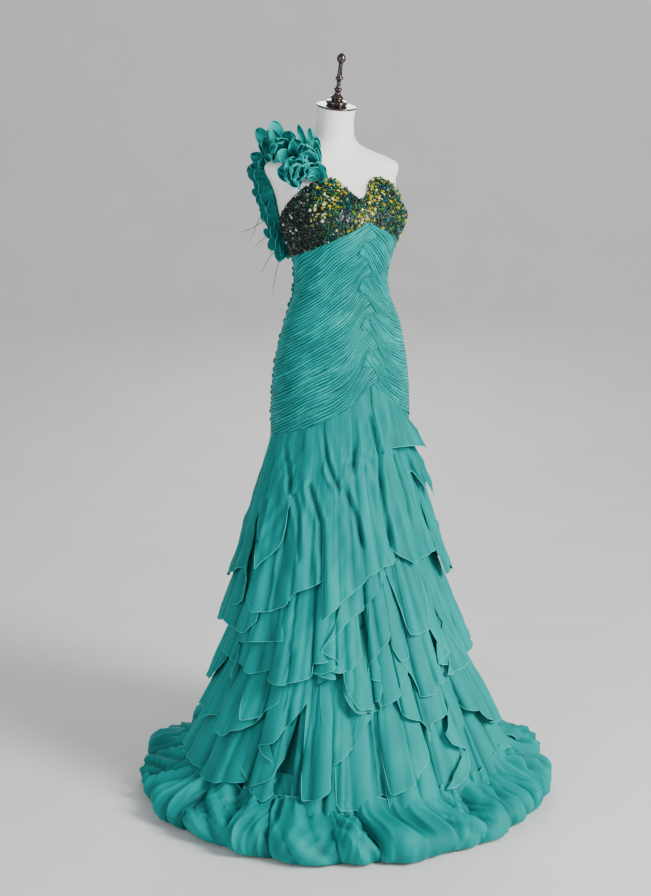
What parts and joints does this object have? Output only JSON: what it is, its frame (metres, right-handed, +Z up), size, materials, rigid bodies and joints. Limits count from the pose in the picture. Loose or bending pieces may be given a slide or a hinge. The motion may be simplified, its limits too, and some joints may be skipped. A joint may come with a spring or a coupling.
{
  "type": "one-shoulder prom dress on a limbless dress form with a stand",
  "caption": "One-shoulder mermaid prom dress with a beaded bodice, ruched waist, petal strap and tiered flounce skirt, worn by a limbless dress form on a stand.",
  "frame": {"origin": "centre of the underside of the stand's base, on the floor", "axes": "+Z up along the stand's pole, -Y the way the dress's front faces, +X to the wearer's left, away from the shoulder strap"},
  "size_m": [0.9388, 0.9389, 1.617],
  "materials": {
    "chiffon": "soft sheen",
    "beaded": "glossy beads",
    "thread": "matte",
    "form_cover": "matte",
    "dark_wood": "gloss",
    "stand_metal": "satin"
  },
  "bodies": {
    "root": {"form_torso": "form_cover", "form_finial": "dark_wood", "stand_pole": "stand_metal", "stand_base": "stand_metal", "cup_right": "beaded", "cup_left": "beaded", "band_back_right": "beaded", "band_back_left": "beaded", "midriff_right": "chiffon", "midriff_left": "chiffon", "midriff_back_right": "chiffon", "midriff_back_left": "chiffon", "underskirt_front_right": "chiffon", "underskirt_front_left": "chiffon", "underskirt_back_right": "chiffon", "underskirt_back_left": "chiffon", "overlay_front": "chiffon", "overlay_front_under": "chiffon", "overlay_right": "chiffon", "overlay_right_under": "chiffon", "overlay_left": "chiffon", "overlay_left_side": "chiffon", "overlay_back_left": "chiffon", "overlay_back_right": "chiffon", "hip_flap_left": "chiffon", "tier2_right": "chiffon", "tier2_front": "chiffon", "tier2_left": "chiffon", "tier2_left_side": "chiffon", "tier2_back_left": "chiffon", "tier2_back": "chiffon", "tier2_back_right": "chiffon", "tier3_right": "chiffon", "tier3_front": "chiffon", "tier3_left": "chiffon", "tier3_left_side": "chiffon", "tier3_back_left": "chiffon", "tier3_back": "chiffon", "tier3_back_right": "chiffon", "tier4_right": "chiffon", "tier4_front": "chiffon", "tier4_left": "chiffon", "tier4_back_left": "chiffon", "tier4_back_right": "chiffon", "hem_front_right": "chiffon", "hem_front_left": "chiffon", "hem_back_left": "chiffon", "hem_back_right": "chiffon", "strap_band": "chiffon", "petal_1": "chiffon", "petal_2": "chiffon", "petal_3": "chiffon", "petal_4": "chiffon", "petal_5": "chiffon", "petal_6": "chiffon", "petal_7": "chiffon", "strap_frill_outer": "chiffon", "strap_frill_inner": "chiffon", "side_frill": "chiffon", "strap_threads": "thread"}
  },
  "joints": []
}
